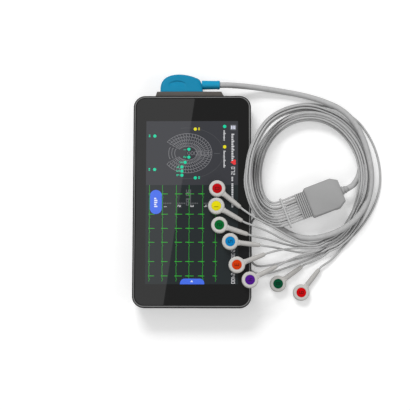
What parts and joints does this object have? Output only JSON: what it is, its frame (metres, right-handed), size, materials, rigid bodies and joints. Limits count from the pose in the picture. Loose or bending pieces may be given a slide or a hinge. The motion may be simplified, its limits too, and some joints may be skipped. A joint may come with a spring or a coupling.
{
  "type": "handheld heart-signal monitor",
  "caption": "Handheld monitor with a large front screen, side keys and a top connector, lying on its back with its plug-in patient cable and snap leads coiled beside it.",
  "frame": {"origin": "on the back face, under the middle of the case", "axes": "+X to the right of the screen, +Y towards the connector edge, +Z out of the screen"},
  "size_m": [0.2029, 0.1919, 0.0243],
  "materials": {
    "back_shell": "fine spark texture",
    "cap_shell": "fine spark texture",
    "front_shell": "satin",
    "cover_glass": "polished, printed black round the screen",
    "display": "bonded display panel",
    "inner_metal": "stamped",
    "seal": "soft",
    "ledge": "moulded",
    "socket_plastic": "moulded",
    "contacts": "gold plated",
    "ring_plastic": "gloss",
    "lens": "coated",
    "label": "smooth film",
    "speaker": "moulded",
    "socket_metal": "nickel plated",
    "board": "lacquered laminate",
    "battery": "foil pouch",
    "key_plastic": "satin",
    "hood": "moulded",
    "hood_relief": "soft",
    "main_jacket": "smooth jacket",
    "yoke": "moulded",
    "yoke_soft": "soft",
    "comb": "moulded",
    "lead_jacket": "smooth jacket",
    "snap": "moulded",
    "boot": "soft",
    "snap_metal": "nickel plated",
    "tint_red": "moulded",
    "tint_yellow": "moulded",
    "tint_green": "moulded",
    "tint_blue": "moulded",
    "tint_orange": "moulded",
    "tint_purple": "moulded",
    "tint_dark_green": "moulded",
    "tint_crimson": "moulded",
    "tint_white": "moulded",
    "tint_black": "moulded"
  },
  "bodies": {
    "case": {"back_cover": "back_shell", "top_cap": "cap_shell", "front_frame": "front_shell", "cover_glass": "cover_glass", "display_panel": "display", "mid_frame": "inner_metal", "seal_ring": "seal", "connector_block": "ledge", "socket_shell": "socket_plastic", "socket_pins": "contacts", "camera_ring": "ring_plastic", "camera_lens": "lens", "label_plate": "label", "speaker": "speaker", "charge_contacts": "contacts", "charge_socket": "socket_metal", "main_board": "board", "shield_cans": "inner_metal", "ecg_board": "board", "battery": "battery", "key_board": "board", "case_screws": "socket_metal", "screw_caps": "cap_shell", "rocker_pin": "socket_metal"},
    "power_key": {"power_key": "key_plastic"},
    "volume_rocker": {"volume_rocker": "key_plastic"},
    "function_key": {"function_key": "key_plastic"},
    "cable": {"plug_hood": "hood", "plug_insert": "socket_plastic", "plug_pins": "contacts", "plug_relief": "hood_relief", "main_cable_start": "main_jacket", "main_cable_coil": "main_jacket", "main_cable_end": "main_jacket", "yoke_top": "yoke", "yoke_bottom": "yoke", "yoke_board": "board", "yoke_relief": "yoke_soft", "yoke_collar": "yoke_soft", "lead_coil": "lead_jacket", "lead_ends": "lead_jacket", "snap_heads": "snap", "snap_boots": "boot", "snap_springs": "snap_metal", "disc_red": "tint_red", "disc_yellow": "tint_yellow", "disc_green": "tint_green", "disc_blue": "tint_blue", "disc_orange": "tint_orange", "disc_purple": "tint_purple", "disc_dark_green": "tint_dark_green", "disc_crimson": "tint_crimson", "disc_white": "tint_white", "disc_black": "tint_black"},
    "comb": {"wire_comb": "comb"}
  },
  "joints": [
    {"name": "power_press", "type": "slide", "parent": "case", "child": "power_key", "axis": [-1, 0, 0], "range_m": [0, 0.0005], "stiffness_N_per_m": 600},
    {"name": "function_press", "type": "slide", "parent": "case", "child": "function_key", "axis": [-1, 0, 0], "range_m": [0, 0.0005], "stiffness_N_per_m": 600},
    {"name": "rocker_tilt", "type": "hinge", "parent": "case", "child": "volume_rocker", "pos_m": [0.04475, 0.002, 0.011], "axis": [0, 0, 1], "range_deg": [-1.4, 1.4], "stiffness_Nm_per_rad": 0.3},
    {"name": "plug_pull", "type": "slide", "parent": "case", "child": "cable", "axis": [0, 1, 0], "range_m": [0, 0.01]},
    {"name": "comb_slide", "type": "slide", "parent": "cable", "child": "comb", "axis": [0.9336, 0.3584, 0], "range_m": [0, 0.01]}
  ]
}
